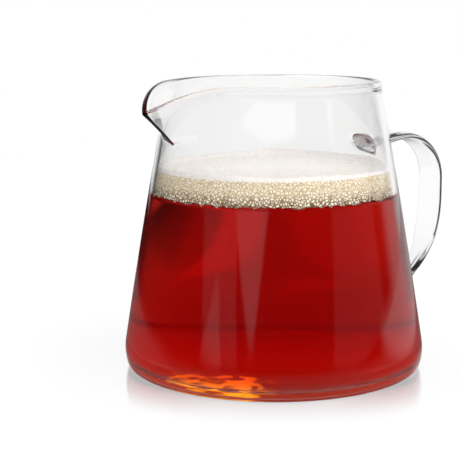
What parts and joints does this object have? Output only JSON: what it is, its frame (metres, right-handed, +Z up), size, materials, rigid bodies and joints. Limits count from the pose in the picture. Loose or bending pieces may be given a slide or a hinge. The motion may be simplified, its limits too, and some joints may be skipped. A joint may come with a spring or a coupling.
{
  "type": "coffee server",
  "caption": "Blown glass coffee server with a wide flat base, leaning wall, pulled pouring lip and glass strap handle, holding coffee under a layer of foam.",
  "frame": {"origin": "centre of the standing ring, on the axis of the round body", "axes": "+Z up along the axis of the body, +X from the axis toward the handle, so the lip points along -X"},
  "size_m": [0.1539, 0.1302, 0.124],
  "materials": {
    "clear_glass": "clear, smooth, fire-polished",
    "coffee": "clear deep red liquid",
    "foam": "cream foam of small bubbles"
  },
  "bodies": {
    "root": {"glass_jug": "clear_glass", "coffee": "coffee", "foam": "foam"}
  },
  "joints": []
}
